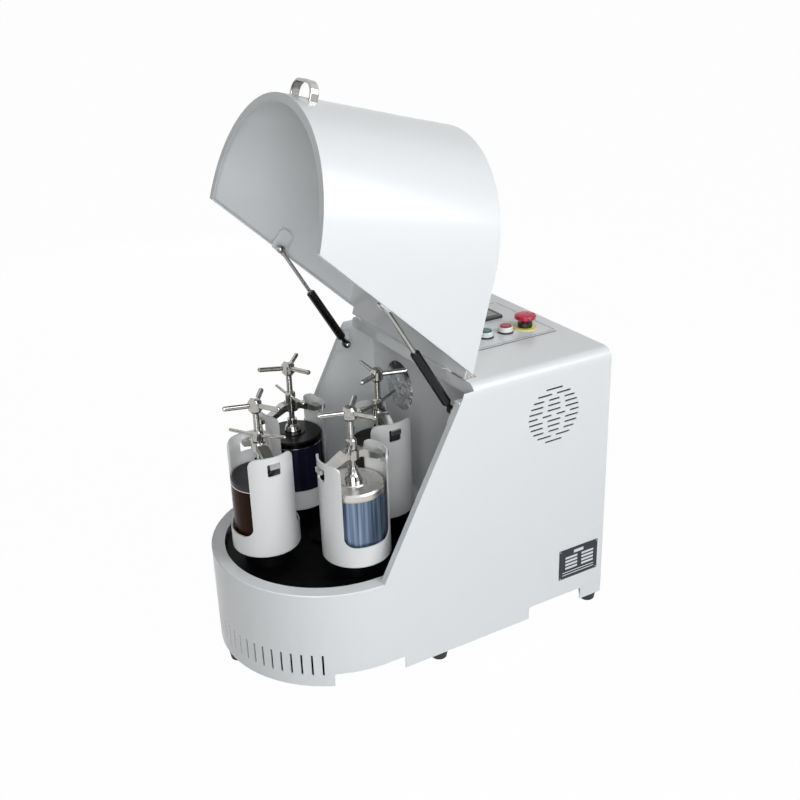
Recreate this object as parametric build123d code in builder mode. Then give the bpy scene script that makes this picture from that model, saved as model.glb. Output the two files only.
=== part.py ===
from build123d import *
import os
from math import acos, atan2, cos, degrees, hypot, pi, radians, sin, sqrt, tan

os.makedirs("parts", exist_ok=True)

# Planetary ball mill for the lab bench, drawn with its lid open. Millimetres, +Z up.
# The origin is the centre of its footprint on the bench. The milling chamber with its
# round drum front faces -Y, the control cabinet stands at +Y, and X runs across.

# ---- Driving dimensions: sheet-steel body ----
width = 470
length = 756
height = 576  # top of the control cabinet
skirt_bottom = 18
deck_top = 222  # top of the chamber deck, where the lid rests
sheet = 2.5
bend = 22  # outer bend radius along the cabinet's top
rear = length / 2
drum_radius = width / 2
drum_y = drum_radius - rear
inner_half = width / 2 - sheet

slant_low = (-147, deck_top)  # slanted front edge of the side walls, as (y, z)
slant_high = (41, height)
corner_radius = 22
flange = 12  # folded strip along the slanted edges
lip_y = 56  # front lip of the cabinet's top
lip_bottom = 550
bulkhead_y = 105

# ---- Driving dimensions: milling drive ----
disc_y = -147
deck_opening = 205
disc_radius = 203
disc_bottom = 194
disc_top = 212
boss_top = 240
station_radius = 130
station_angles = (-90, 0, 90, 180)  # front, right, rear, left

gear_module = 6.5
planet_teeth = 20
ring_teeth = 60
pressure_angle = radians(20)
addendum = 5
dedendum = 6.5
backlash = 0.25  # taken off each flank
gear_bottom = 168
gear_width = 16

floor_bottom = 44
floor_top = 48
drive_deck = 108
belt_bottom = 60
belt_width = 26
main_pulley_radius = 105
motor_pulley_radius = 42
belt_thickness = 4.5
motor_y = 230

# ---- Driving dimensions: jars and clamps ----
holder_radius = 66.5
holder_wall = 3
holder_bottom = 244
holder_top = 454
holder_floor = 248
window_bottom = 287
window_half = 48.6  # half of the opening between the holder's two walls
clamp_slot_z = 428
clamp_slot = 26
jar_radius = 58.5
jar_top = 380
jar_lid_top = 396
yoke_top = 462
handle_z = 535
arm_reach = 62
nut_z = 473
screw_radius = 6
handle_turns = (24, 22, 62, 18)  # where each clamp handle stands, in degrees
nut_turns = (39, 148, 114, 3)  # and each lock nut's cross bar

# ---- Driving dimensions: lid, hinges and gas struts ----
hinge_y = 54
hinge_z = 581
lid_open = 105.4
lid_sheet = 2
lid_radius = 233
lid_bottom = 222.5
lid_flange = 15
hinge_x = 186
strut_x = 205
strut_foot = (25, 524)  # lower ball stud, as (y, z)
strut_head = (-111, 757)  # upper ball stud with the lid open
strut_radius = 9
rod_radius = 4
fit_gap = 0.05  # radial clearance of running fits
seam = 0.02  # hairline between welded sheets and posts


# ---------------------------------------------------------------- helpers
def drum_outline(plane, radius, rear_y):
    """A half circle in front and straight sides back to rear_y, seen from above."""
    with BuildSketch(plane) as outline:
        with BuildLine():
            Line((radius, drum_y), (radius, rear_y))
            Line((radius, rear_y), (-radius, rear_y))
            Line((-radius, rear_y), (-radius, drum_y))
            ThreePointArc((-radius, drum_y), (0, drum_y - radius), (radius, drum_y))
        make_face()
    return outline.sketch


def outline_of(plane, *points, radius=0, rounded=()):
    """A closed polygon on a plane, with the named corners rounded."""
    with BuildSketch(plane) as outline:
        with BuildLine():
            Polyline(*points, close=True)
        make_face()
        for corner in rounded:
            fillet(outline.vertices().sort_by_distance(corner)[0], radius)
    return outline.sketch


def turned(plane, *points):
    """A closed half profile, drawn as (radius, height), turned about the plane's y axis."""
    axis = Axis(plane.origin, plane.y_dir)
    with BuildPart() as piece:
        with BuildSketch(plane):
            with BuildLine():
                Polyline(*points, close=True)
            make_face()
        revolve(axis=axis)
    return piece.part


def slant_point(z, shift=0):
    """The side walls' slanted edge at a height, moved square to itself, forward if positive."""
    run = slant_high[0] - slant_low[0]
    rise = slant_high[1] - slant_low[1]
    size = hypot(run, rise)
    y = slant_low[0] + (z - slant_low[1]) * run / rise
    return (y - shift * size / rise, z)


upright = Plane.XZ  # x across, y up: for half profiles about a vertical axis


def upright_at(x, y):
    """An upright plane facing -Y through a point, for turned pieces."""
    return Plane(origin=(x, y, 0), x_dir=(1, 0, 0), z_dir=(0, -1, 0))


# ================================================================ housing
side_outline = outline_of(
    Plane.YZ,
    (-rear, skirt_bottom),
    (rear, skirt_bottom),
    (rear, height),
    slant_high,
    slant_low,
    (-rear, deck_top),
    radius=corner_radius,
    rounded=[slant_high],
)
chamber_outline = outline_of(
    Plane.YZ,
    (-rear - 10, deck_top),
    (lip_y, deck_top),
    (lip_y, height + 10),
    (-rear - 10, height + 10),
)
space_outline = outline_of(
    Plane.YZ,
    (lip_y - 10, deck_top),
    (bulkhead_y, deck_top),
    (bulkhead_y, deck_top - sheet - 1),
    (rear + 1, deck_top - sheet - 1),
    (rear + 1, height - sheet),
    (lip_y + sheet, height - sheet),
    (lip_y + sheet, lip_bottom),
    (lip_y - 10, lip_bottom),
)


def folded_section(half, top, radius):
    """The cabinet's section seen from the front, with its folded upper corners rounded."""
    return outline_of(
        Plane.XZ,
        (-half, 0),
        (half, 0),
        (half, top),
        (-half, top),
        radius=radius,
        rounded=[(half, top), (-half, top)],
    )


with BuildPart() as cabinet_space:
    extrude(space_outline, amount=inner_half, both=True)
    extrude(folded_section(inner_half, height - sheet, bend - sheet), amount=length, both=True, mode=Mode.INTERSECT)
with BuildPart() as chamber_space:
    extrude(chamber_outline, amount=inner_half, both=True)

vent_y = 240
vent_z = 470
vent_radius = 61
vent_pitch = 11
vent_gap = 10.5
vent_height = 4
slots_in_row = (1, 2, 3, 3, 3, 4, 3, 3, 3, 2, 1)

bracket_face = strut_x + 12  # the strut brackets' faces stand here
bracket_low = 509
bracket_high = 548

cut_out_top = 45
front_cut_out = (-249, -107)
rear_cut_out = (189, 323)

drum_slots = 24
drum_slot_pitch = 5.05  # degrees around the drum
drum_slot_middle = -90  # degrees, measured from +X
drum_slot_z = 66
drum_slot_size = (4, 46)

button_places = ((48, 210), (48, 258.5))  # green, red
stop_place = (48, 307)
button_hole = 11.3
with BuildPart() as housing:
    extrude(drum_outline(Plane.XY.offset(skirt_bottom), drum_radius, rear), amount=height - skirt_bottom)
    extrude(side_outline, amount=width, both=True, mode=Mode.INTERSECT)
    extrude(folded_section(width / 2, height, bend), amount=length, both=True, mode=Mode.INTERSECT)
    drum_rim = housing.edges().filter_by(GeomType.CIRCLE).filter_by_position(
        Axis.Z, deck_top - 0.1, deck_top + 0.1
    )
    fillet(drum_rim, 2)
    # the hollow below the deck, and the chamber and cabinet above it
    extrude(
        drum_outline(Plane.XY.offset(skirt_bottom), drum_radius - sheet, rear + 1),
        amount=deck_top - sheet - skirt_bottom,
        mode=Mode.SUBTRACT,
    )
    add(cabinet_space.part, mode=Mode.SUBTRACT)
    add(chamber_space.part, mode=Mode.SUBTRACT)
    with BuildSketch(Plane.XY.offset(deck_top)):
        with Locations((0, disc_y)):
            Circle(deck_opening)
    extrude(amount=-4 * sheet, mode=Mode.SUBTRACT)
    # folded strips along the slanted edges and the welded strut brackets
    for side in (-1, 1):
        strip = outline_of(
            Plane.YZ.offset(side * inner_half),
            slant_point(deck_top),
            slant_point(lip_bottom),
            slant_point(lip_bottom, -sheet),
            slant_point(deck_top, -sheet),
        )
        extrude(strip, amount=-side * flange)
        bracket = outline_of(
            Plane.YZ.offset(side * bracket_face),
            slant_point(bracket_low, -0.5),
            slant_point(bracket_high, -0.5),
            (strut_foot[0] + 13, bracket_high),
            (strut_foot[0] + 13, bracket_low + 8),
            (strut_foot[0] + 5, bracket_low),
        )
        extrude(bracket, amount=side * sheet)
        with BuildSketch(Plane.YZ.offset(side * bracket_face)):
            with Locations((strut_foot[0] + 5, bracket_high - sheet / 2)):
                Rectangle(14, sheet)
        extrude(amount=side * (inner_half - bracket_face))
    # lifting cut-outs in the skirt
    for low_y, high_y in (front_cut_out, rear_cut_out):
        with BuildSketch(Plane.YZ) as cut_out:
            with BuildLine():
                Polyline(
                    (low_y, skirt_bottom - 1),
                    (high_y, skirt_bottom - 1),
                    (high_y, cut_out_top),
                    (low_y, cut_out_top),
                    close=True,
                )
            make_face()
            fillet(cut_out.vertices().group_by(Axis.Y)[-1], 5)
        extrude(amount=width, both=True, mode=Mode.SUBTRACT)
    # round vent in the right side wall
    with BuildSketch(Plane.YZ.offset(width / 2)):
        for row, slots in enumerate(slots_in_row):
            offset_z = (5 - row) * vent_pitch
            chord = 2 * sqrt(vent_radius**2 - (abs(offset_z) + 2.5) ** 2)
            slot_length = (chord - (slots - 1) * vent_gap) / slots
            with Locations((vent_y, vent_z + offset_z)):
                with GridLocations(slot_length + vent_gap, 1, slots, 1):
                    SlotOverall(slot_length, vent_height)
    extrude(amount=-2 * sheet, mode=Mode.SUBTRACT)
    # upright slots round the front of the drum
    for index in range(drum_slots):
        turn = drum_slot_middle + (index - (drum_slots - 1) / 2) * drum_slot_pitch
        outward = (cos(radians(turn)), sin(radians(turn)), 0)
        slot_plane = Plane(
            origin=(
                outward[0] * (drum_radius + 1),
                drum_y + outward[1] * (drum_radius + 1),
                drum_slot_z,
            ),
            x_dir=(-outward[1], outward[0], 0),
            z_dir=outward,
        )
        with BuildSketch(slot_plane):
            SlotOverall(drum_slot_size[1], drum_slot_size[0], rotation=90)
        extrude(amount=-2 * sheet, mode=Mode.SUBTRACT)
    # holes for the control buttons
    with BuildSketch(Plane.XY.offset(height)):
        with Locations(*button_places, stop_place):
            Circle(button_hole)
    extrude(amount=-2 * sheet, mode=Mode.SUBTRACT)
    # hairlines where the plinth, skirt, deck, side walls and cabinet top are welded together
    for seam_z in (cut_out_top, deck_top - sheet, deck_top, lip_bottom):
        with BuildSketch(Plane.XY.offset(seam_z)):
            Rectangle(width + 10, length + 10)
        extrude(amount=-seam, mode=Mode.SUBTRACT)
housing.part.label = "housing"
export_step(housing.part, "parts/housing.step")

# ================================================================ bulkhead and rear cover
bulkhead_half = inner_half - 0.3
with BuildPart() as bulkhead:
    with BuildSketch(Plane.XZ.offset(-bulkhead_y)):
        with Locations((0, (deck_top + height - sheet) / 2)):
            Rectangle(2 * bulkhead_half, height - sheet - deck_top - 0.6)
    extrude(amount=-sheet)
    for side in (-1, 1):
        with BuildSketch(Plane.XZ.offset(-bulkhead_y - sheet)):
            with Locations((side * (bulkhead_half - sheet / 2), (deck_top + height - bend) / 2)):
                Rectangle(sheet, height - bend - deck_top - 20)
        extrude(amount=-15)
    corners = bulkhead.edges().filter_by(Axis.Y).filter_by_position(Axis.Z, height - 4, height)
    fillet(corners, bend - sheet)
bulkhead.part.label = "bulkhead"
export_step(bulkhead.part, "parts/bulkhead.step")

cover_face = 375
cover_low = floor_top + 0.4
cover_high = height - sheet - 0.4
inlet_x = -140
inlet_z = 110
with BuildPart() as rear_cover:
    with BuildSketch(Plane.XZ.offset(-cover_face)):
        with Locations((0, (cover_low + cover_high) / 2)):
            Rectangle(2 * bulkhead_half, cover_high - cover_low)
    extrude(amount=sheet + 12)
    fillet(
        rear_cover.edges().filter_by(Axis.Y).filter_by_position(Axis.Z, cover_high - 1, cover_high + 1),
        bend - sheet,
    )
    with BuildSketch(Plane.XZ.offset(-cover_face + sheet)):
        with Locations((0, (cover_low + cover_high) / 2)):
            RectangleRounded(2 * (bulkhead_half - sheet), cover_high - cover_low - 2 * sheet, 7)
    extrude(amount=13, mode=Mode.SUBTRACT)
    # two columns of louvre slots and the opening for the power inlet
    with BuildSketch(Plane.XZ.offset(-cover_face)):
        with Locations((0, 400)):
            with GridLocations(150, 16, 2, 9):
                SlotOverall(110, 6)
        with Locations((inlet_x, inlet_z)):
            Rectangle(30, 22)
    extrude(amount=2 * sheet, mode=Mode.SUBTRACT)
rear_cover.part.label = "rear_cover"
export_step(rear_cover.part, "parts/rear_cover.step")

with BuildPart() as power_inlet:
    with BuildSketch(Plane.XZ.offset(-cover_face)):
        with Locations((inlet_x, inlet_z)):
            RectangleRounded(50, 30, 4)
    extrude(amount=-2.5)
    with BuildSketch(Plane.XZ.offset(-cover_face)):
        with Locations((inlet_x, inlet_z)):
            Rectangle(29, 21)
    extrude(amount=24)
    with BuildSketch(Plane.XZ.offset(-cover_face - 2.5)):
        with Locations((inlet_x, inlet_z)):
            Rectangle(24, 16)
    extrude(amount=18, mode=Mode.SUBTRACT)
    with BuildSketch(Plane.XZ.offset(-cover_face + 17)):
        with Locations((inlet_x, inlet_z + 3), (inlet_x - 7, inlet_z - 2), (inlet_x + 7, inlet_z - 2)):
            Rectangle(2, 5)
    extrude(amount=-14)
power_inlet.part.label = "power_inlet"
export_step(power_inlet.part, "parts/power_inlet.step")

# ================================================================ base frame
foot_places = ((-217, 357), (217, 357), (-217, -20), (217, -20), (0, -360))
post_radius = 206  # circle of the posts that carry the drive deck and the ring gear
bearing_tube = (42, 31)  # outer and inner radius
bearing_tube_top = 172
with BuildPart() as base_frame:
    extrude(
        drum_outline(Plane.XY.offset(floor_bottom), drum_radius - sheet - 2, cover_face - 1),
        amount=floor_top - floor_bottom,
    )
    # round drive deck on its posts
    with BuildSketch(Plane.XY.offset(drive_deck - 8)):
        with Locations((0, disc_y)):
            Circle(213)
    extrude(amount=8)
    with BuildSketch(Plane.XY.offset(floor_top + seam)):
        with Locations((0, disc_y)):
            with PolarLocations(post_radius, 6):
                Circle(8)
        with Locations((0, motor_y)):
            with GridLocations(160, 190, 2, 2):
                Circle(8)
    extrude(amount=drive_deck - 8 - floor_top - 2 * seam)
    with BuildSketch(Plane.XY.offset(drive_deck + seam)):
        with Locations((0, disc_y)):
            with PolarLocations(post_radius, 6):
                Circle(5)
    extrude(amount=gear_bottom - drive_deck + 2 - seam)
    # motor plate
    with BuildSketch(Plane.XY.offset(drive_deck - 8)):
        with Locations((0, motor_y)):
            RectangleRounded(190, 220, 12)
            Circle(20, mode=Mode.SUBTRACT)
    extrude(amount=8)
    # welded bearing tube
    with BuildSketch(Plane.XY.offset(drive_deck + seam)):
        with Locations((0, disc_y)):
            Circle(bearing_tube[0])
            Circle(bearing_tube[1], mode=Mode.SUBTRACT)
    extrude(amount=bearing_tube_top - drive_deck - seam)
    with BuildSketch(Plane.XY.offset(drive_deck - 8)):
        with Locations((0, disc_y)):
            Circle(24)
    extrude(amount=8, mode=Mode.SUBTRACT)
base_frame.part.label = "base_frame"
export_step(base_frame.part, "parts/base_frame.step")

# rubber pad under the skirt's edge, with a stud up to the floor plate
rubber_foot = turned(
    upright,
    (0, 0),
    (14, 0),
    (15.5, 1.5),
    (18, skirt_bottom - 1),
    (9, skirt_bottom - 1),
    (9, floor_bottom),
    (0, floor_bottom),
)
with BuildPart() as feet:
    with Locations(*foot_places):
        add(rubber_foot)
feet.part.label = "feet"
export_step(feet.part, "parts/feet.step")


# ================================================================ ring gear and drive
def tooth_half_angle(teeth, radius):
    """Half the angle that an involute tooth of an outer gear fills at a radius."""
    pitch_radius = gear_module * teeth / 2
    turn = acos(min(1, pitch_radius * cos(pressure_angle) / radius))
    at_pitch = tan(pressure_angle) - pressure_angle
    return pi / (2 * teeth) + at_pitch - (tan(turn) - turn)


def gear_outline(plane, teeth, outer, root, widen):
    """Straight-flanked teeth between two radii, each flank moved out by widen at the pitch line."""
    pitch_radius = gear_module * teeth / 2
    more = widen / pitch_radius
    at_outer = tooth_half_angle(teeth, outer) + more
    at_root = tooth_half_angle(teeth, root) + more
    corners = []
    for tooth in range(teeth):
        middle = 2 * pi * tooth / teeth
        for radius, turn in (
            (root, middle - at_root),
            (outer, middle - at_outer),
            (outer, middle + at_outer),
            (root, middle + at_root),
        ):
            corners.append((radius * cos(turn), radius * sin(turn)))
    return outline_of(plane, *corners)


ring_pitch = gear_module * ring_teeth / 2
planet_pitch = gear_module * planet_teeth / 2
disc_plane = Plane(origin=(0, disc_y, 0))
with BuildPart() as ring_gear:
    with BuildSketch(disc_plane.offset(gear_bottom + 2)):
        Circle(post_radius + 6)
    extrude(amount=gear_width - 4)
    # the spaces of the ring are the teeth of an outer gear, so the same outline cuts them
    extrude(
        gear_outline(
            disc_plane.offset(gear_bottom), ring_teeth, ring_pitch + dedendum, ring_pitch - addendum, backlash
        ),
        amount=gear_width,
        mode=Mode.SUBTRACT,
    )
    with BuildSketch(disc_plane.offset(gear_bottom)):
        Circle(ring_pitch - addendum)
    extrude(amount=gear_width, mode=Mode.SUBTRACT)
ring_gear.part.label = "ring_gear"
export_step(ring_gear.part, "parts/ring_gear.step")


def bearing(plane, bore, outer, low, high):
    """A shielded ball bearing as one turned ring, with a shallow step in each face."""
    inner_step = bore + (outer - bore) * 0.25
    outer_step = bore + (outer - bore) * 0.75
    return turned(
        plane,
        (bore, low),
        (inner_step, low),
        (inner_step, low + 1),
        (outer_step, low + 1),
        (outer_step, low),
        (outer, low),
        (outer, high),
        (outer_step, high),
        (outer_step, high - 1),
        (inner_step, high - 1),
        (inner_step, high),
        (bore, high),
    )


disc_axis = upright_at(0, disc_y)
shaft_radius = 15
with BuildPart() as main_bearings:
    add(bearing(disc_axis, shaft_radius + fit_gap, bearing_tube[1], drive_deck, drive_deck + 16))
    add(bearing(disc_axis, shaft_radius + fit_gap, bearing_tube[1], bearing_tube_top - 18, bearing_tube_top - 2))
main_bearings.part.label = "main_bearings"
export_step(main_bearings.part, "parts/main_bearings.step")

with BuildPart() as main_shaft:
    add(
        turned(
            disc_axis,
            (0, 52),
            (shaft_radius - 1, 52),
            (shaft_radius, 53),
            (shaft_radius, disc_bottom - 14),
            (22, disc_bottom - 14),
            (22, disc_bottom - 10),
            (48, disc_bottom - 10),
            (48, disc_bottom),
            (0, disc_bottom),
        )
    )
main_shaft.part.label = "main_shaft"
export_step(main_shaft.part, "parts/main_shaft.step")


def pulley_profile(radius, bore, hub, web):
    """Half profile of a flanged flat-belt pulley: rim with two flanges, web and hub."""
    low = belt_bottom
    high = belt_bottom + belt_width + 6
    return (
        (bore, low),
        (hub, low),
        (hub, web[0]),
        (radius - 10, web[0]),
        (radius - 10, low),
        (radius + 5, low),
        (radius + 5, low + 2.5),
        (radius, low + 2.5),
        (radius, high - 2.5),
        (radius + 5, high - 2.5),
        (radius + 5, high),
        (radius - 10, high),
        (radius - 10, web[1]),
        (hub, web[1]),
        (hub, high),
        (bore, high),
    )


with BuildPart() as main_pulley:
    add(turned(disc_axis, *pulley_profile(main_pulley_radius, shaft_radius, 28, (72, 80))))
    with BuildSketch(disc_plane.offset(70)):
        with PolarLocations(62, 6):
            Circle(17)
    extrude(amount=12, mode=Mode.SUBTRACT)
main_pulley.part.label = "main_pulley"
export_step(main_pulley.part, "parts/main_pulley.step")

motor_axis = upright_at(0, motor_y)
motor_shaft_radius = 10
with BuildPart() as motor_pulley:
    add(turned(motor_axis, *pulley_profile(motor_pulley_radius, 0, 20, (68, 84))))
    with BuildSketch(Plane.XY.offset(belt_bottom + belt_width)):
        with Locations((0, motor_y)):
            Circle(motor_shaft_radius)
    extrude(amount=50)
motor_pulley.part.label = "motor_pulley"
export_step(motor_pulley.part, "parts/motor_pulley.step")


def belt_hull(plane, gap):
    """The outline round both pulleys at a distance from their rims."""
    with BuildSketch(plane) as hull:
        with Locations((0, disc_y)):
            Circle(main_pulley_radius + gap)
        with Locations((0, motor_y)):
            Circle(motor_pulley_radius + gap)
        make_hull()
    return hull.sketch


with BuildPart() as drive_belt:
    extrude(belt_hull(Plane.XY.offset(belt_bottom + 3), 0.3 + belt_thickness), amount=belt_width)
    extrude(belt_hull(Plane.XY.offset(belt_bottom + 3), 0.3), amount=belt_width, mode=Mode.SUBTRACT)
drive_belt.part.label = "drive_belt"
export_step(drive_belt.part, "parts/drive_belt.step")

with BuildPart() as motor:
    with BuildSketch(Plane.XY.offset(drive_deck)):
        with Locations((0, motor_y)):
            RectangleRounded(150, 150, 10)
    extrude(amount=10)
    with BuildSketch(Plane.XY.offset(drive_deck + 10)):
        with Locations((0, motor_y)):
            Circle(66)
            with PolarLocations(67, 16):
                Rectangle(14, 4)
    extrude(amount=150)
    with BuildSketch(Plane.XY.offset(drive_deck + 160)):
        with Locations((0, motor_y)):
            Circle(74)
    extrude(amount=34)
    fillet(motor.edges().filter_by(GeomType.CIRCLE).sort_by(Axis.Z)[-1], 10)
    with BuildSketch(Plane.XY.offset(drive_deck + 50)):
        with Locations((0, motor_y + 78)):
            RectangleRounded(80, 44, 4)
    extrude(amount=76)
    with BuildSketch(Plane.XY.offset(drive_deck)):
        with Locations((0, motor_y)):
            Circle(motor_shaft_radius + fit_gap)
    extrude(amount=32, mode=Mode.SUBTRACT)
motor.part.label = "motor"
export_step(motor.part, "parts/motor.step")

drive_box = (-175, 270)  # centre of the speed drive on the floor, as (x, y)
with BuildPart() as speed_drive:
    with BuildSketch(Plane.XY.offset(floor_top)):
        with Locations(drive_box):
            RectangleRounded(60, 120, 4)
    extrude(amount=170)
    with BuildSketch(Plane.XY.offset(floor_top)):
        with Locations((drive_box[0] - 36, drive_box[1])):
            with GridLocations(1, 12, 1, 9):
                Rectangle(14, 3)
    extrude(amount=160)
speed_drive.part.label = "speed_drive"
export_step(speed_drive.part, "parts/speed_drive.step")

# ================================================================ turning disc
with BuildPart() as sun_disc:
    with BuildSketch(disc_plane.offset(disc_bottom)):
        Circle(disc_radius)
    extrude(amount=disc_top - disc_bottom)
    fillet(sun_disc.edges().filter_by(GeomType.CIRCLE).sort_by(Axis.Z)[-1], 3)
    with BuildSketch(disc_plane.offset(disc_top)):
        Circle(34)
    extrude(amount=6)
    with BuildSketch(disc_plane.offset(disc_bottom + 4)):
        with PolarLocations(station_radius, 4):
            Circle(26)
    extrude(amount=boss_top, mode=Mode.SUBTRACT)
    with BuildSketch(disc_plane.offset(disc_bottom)):
        with PolarLocations(station_radius, 4):
            Circle(18)
    extrude(amount=10, mode=Mode.SUBTRACT)
sun_disc.part.label = "sun_disc"
export_step(sun_disc.part, "parts/sun_disc.step")

planet_shaft_radius = 12.5
low_bearing = disc_bottom + 4
high_bearing = boss_top - 17
bearing_height = 16
# flanged unit: a tapered housing on the disc with a ball bearing at each end of its bore
planet_unit = turned(
    upright,
    (planet_shaft_radius + fit_gap, low_bearing),
    (16, low_bearing),
    (16, low_bearing + 1),
    (23, low_bearing + 1),
    (23, low_bearing),
    (26, low_bearing),
    (26, disc_top),
    (46, disc_top),
    (42, boss_top),
    (26, boss_top),
    (26, high_bearing + bearing_height),
    (23, high_bearing + bearing_height),
    (23, high_bearing + bearing_height - 1),
    (16, high_bearing + bearing_height - 1),
    (16, high_bearing + bearing_height),
    (planet_shaft_radius + fit_gap, high_bearing + bearing_height),
    (planet_shaft_radius + fit_gap, high_bearing),
    (20, high_bearing),
    (20, low_bearing + bearing_height),
    (planet_shaft_radius + fit_gap, low_bearing + bearing_height),
)
with BuildPart() as planet_bearings:
    with Locations((0, disc_y, 0)):
        with PolarLocations(station_radius, 4):
            add(planet_unit)
planet_bearings.part.label = "planet_bearings"
export_step(planet_bearings.part, "parts/planet_bearings.step")


# ================================================================ four milling stations
def round_arms(centre, height_z, turns, arm_radius, reach, tilt):
    """Round arms with rounded ends, one for each turn in degrees, rising gently from a hub."""
    with BuildPart() as arms:
        for turn in turns:
            outward = Vector(1, 0, 0).rotate(Axis.Y, -tilt).rotate(Axis.Z, turn)
            across = Vector(0, 1, 0).rotate(Axis.Z, turn)
            arm_plane = Plane(origin=(centre.X, centre.Y, height_z), x_dir=outward, z_dir=across)
            with BuildSketch(arm_plane):
                with BuildLine():
                    Polyline(
                        (5, 0),
                        (5, arm_radius),
                        (reach - 0.7 * arm_radius, arm_radius),
                        (reach - 0.25 * arm_radius, 0.8 * arm_radius),
                        (reach, 0.4 * arm_radius),
                        (reach, 0),
                        close=True,
                    )
                make_face()
            revolve(axis=Axis(arm_plane.origin, outward))
    return arms.part


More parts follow.
